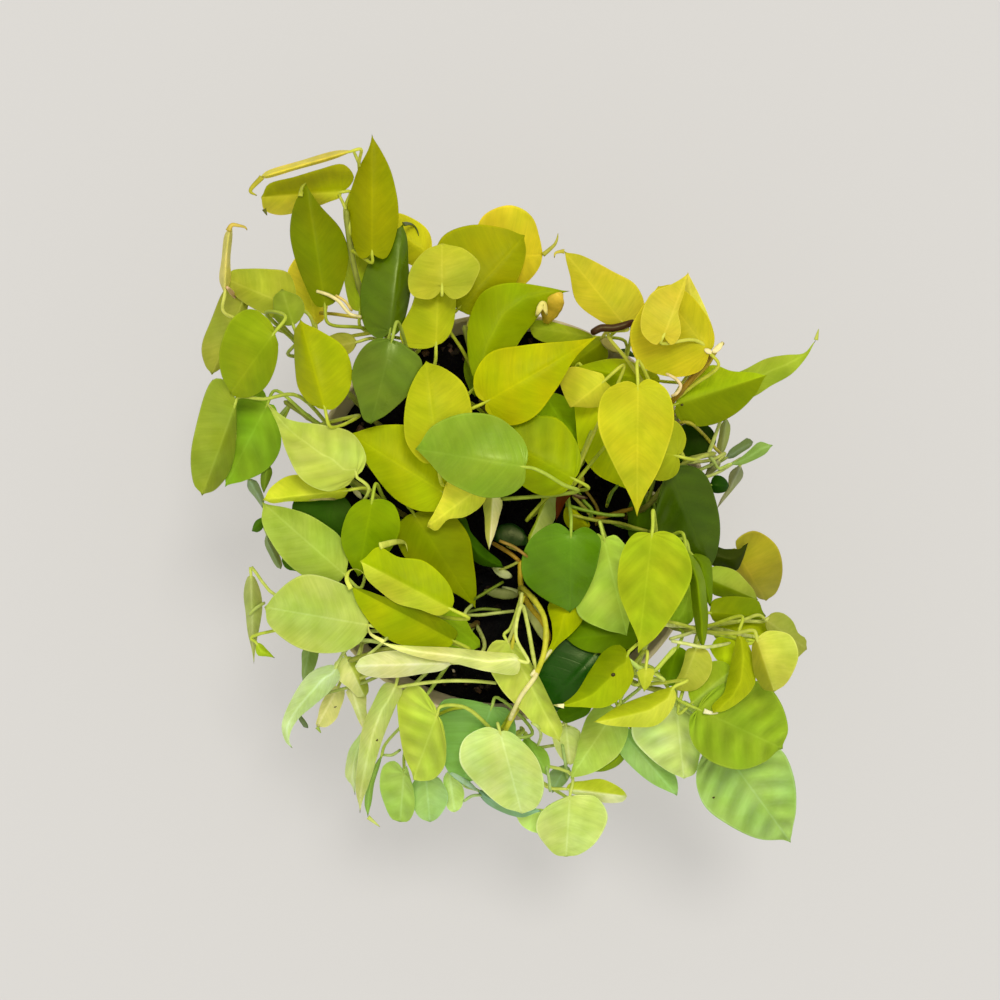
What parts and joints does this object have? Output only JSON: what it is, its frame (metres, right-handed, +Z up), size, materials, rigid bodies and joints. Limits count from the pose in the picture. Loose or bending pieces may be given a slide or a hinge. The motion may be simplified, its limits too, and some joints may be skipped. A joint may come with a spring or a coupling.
{
  "type": "potted pothos plant",
  "caption": "Bushy heart-leaved trailing plant with lime green to yellow leaves, rooted in dark soil in a round tapered cream plant pot.",
  "frame": {"origin": "centre of the pot's flat underside", "axes": "+Z up, out of the pot; +X to the right and +Y to the top of the picture, which looks straight down"},
  "size_m": [0.3084, 0.3628, 0.2403],
  "materials": {
    "pot": "matt cream moulding",
    "soil": "loose dark potting soil",
    "leaf_green": "soft satin leaf",
    "leaf_yellow_green": "soft satin leaf",
    "leaf_lime": "soft satin leaf"
  },
  "bodies": {
    "root": {"pot": "pot", "soil": "soil", "vine_top_left": "leaf_yellow_green", "vine_left_top": "leaf_green", "vine_left": "leaf_green", "vine_left_low": "leaf_lime", "vine_front_left": "leaf_lime", "vine_top_mid": "leaf_green", "vine_top": "leaf_yellow_green", "vine_top_right": "leaf_yellow_green", "vine_mid_left": "leaf_yellow_green", "vine_mid_right": "leaf_yellow_green", "vine_right": "leaf_green", "vine_right_low": "leaf_lime", "vine_far_right": "leaf_yellow_green", "vine_front_right": "leaf_lime", "vine_front": "leaf_lime", "vine_front_low_left": "leaf_lime"}
  },
  "joints": []
}
